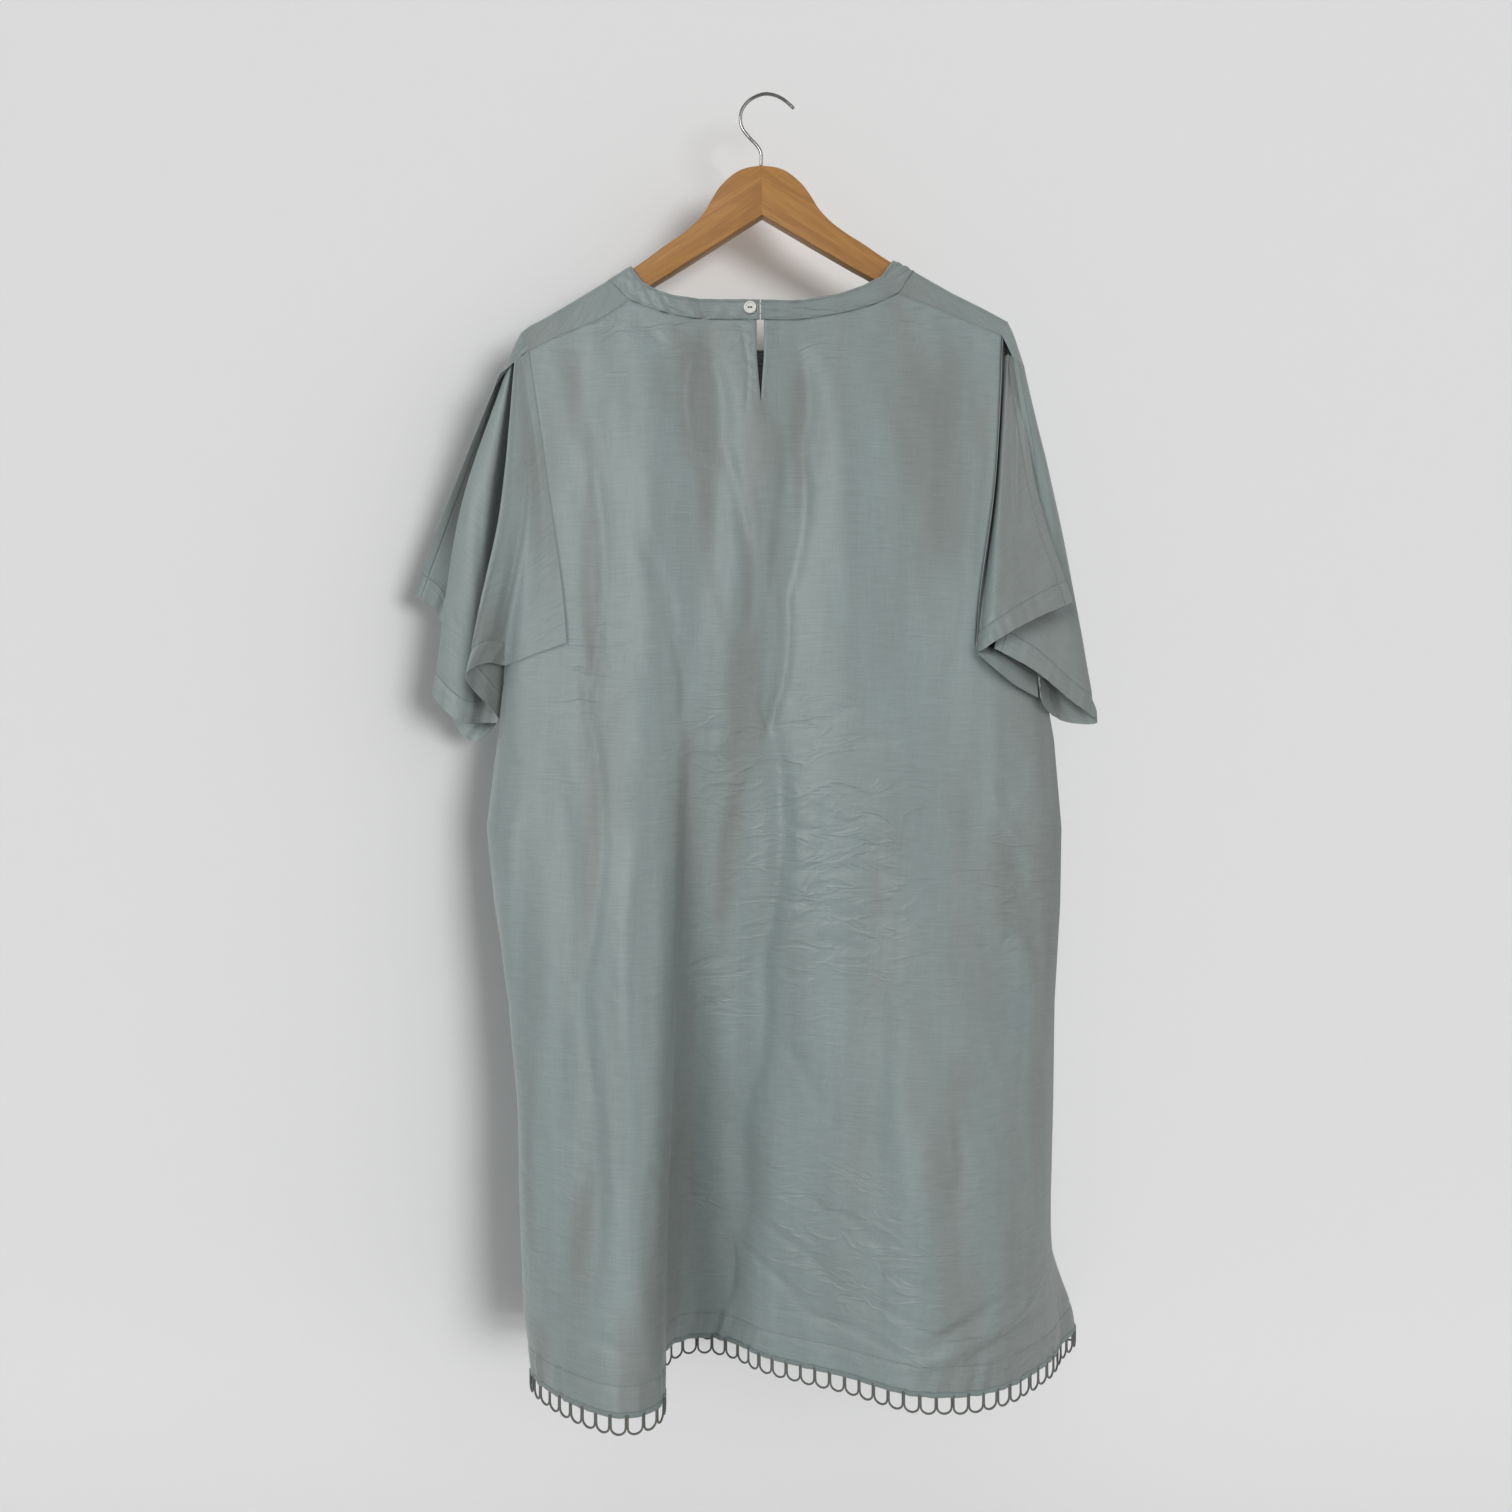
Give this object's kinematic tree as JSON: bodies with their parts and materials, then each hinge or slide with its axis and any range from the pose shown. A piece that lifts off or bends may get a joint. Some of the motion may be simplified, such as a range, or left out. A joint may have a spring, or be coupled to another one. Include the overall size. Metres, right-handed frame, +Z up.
{
  "type": "tunic dress on hanger",
  "caption": "Knee-length tunic dress with split sleeves, keyhole back and loop-trimmed hem, hung on a flat wooden hanger.",
  "frame": {"origin": "inner top of the hanger's hook, where it rests on what holds it up", "axes": "+Z up, -Y out of the dress's back, which is the side with the button, +Y out of its front, +X to the right as its back is looked at"},
  "size_m": [0.6301, 0.1691, 1.1669],
  "materials": {
    "cloth": "satin weave with a two-tone sheen",
    "band": "satin weave, interfaced",
    "trim": "matt cord",
    "wood": "clear satin varnish",
    "hook": "polished",
    "button": "pearly gloss",
    "thread": "twisted thread"
  },
  "bodies": {
    "root": {"back_panel": "cloth", "front_panel": "cloth", "sleeve_left_back": "cloth", "sleeve_left_front": "cloth", "sleeve_right_back": "cloth", "sleeve_right_front": "cloth", "neck_band": "band", "trim_back": "trim", "trim_front": "trim", "hanger_arm_left": "wood", "hanger_arm_right": "wood", "hanger_hook": "hook", "button": "button", "button_loop": "thread"}
  },
  "joints": []
}
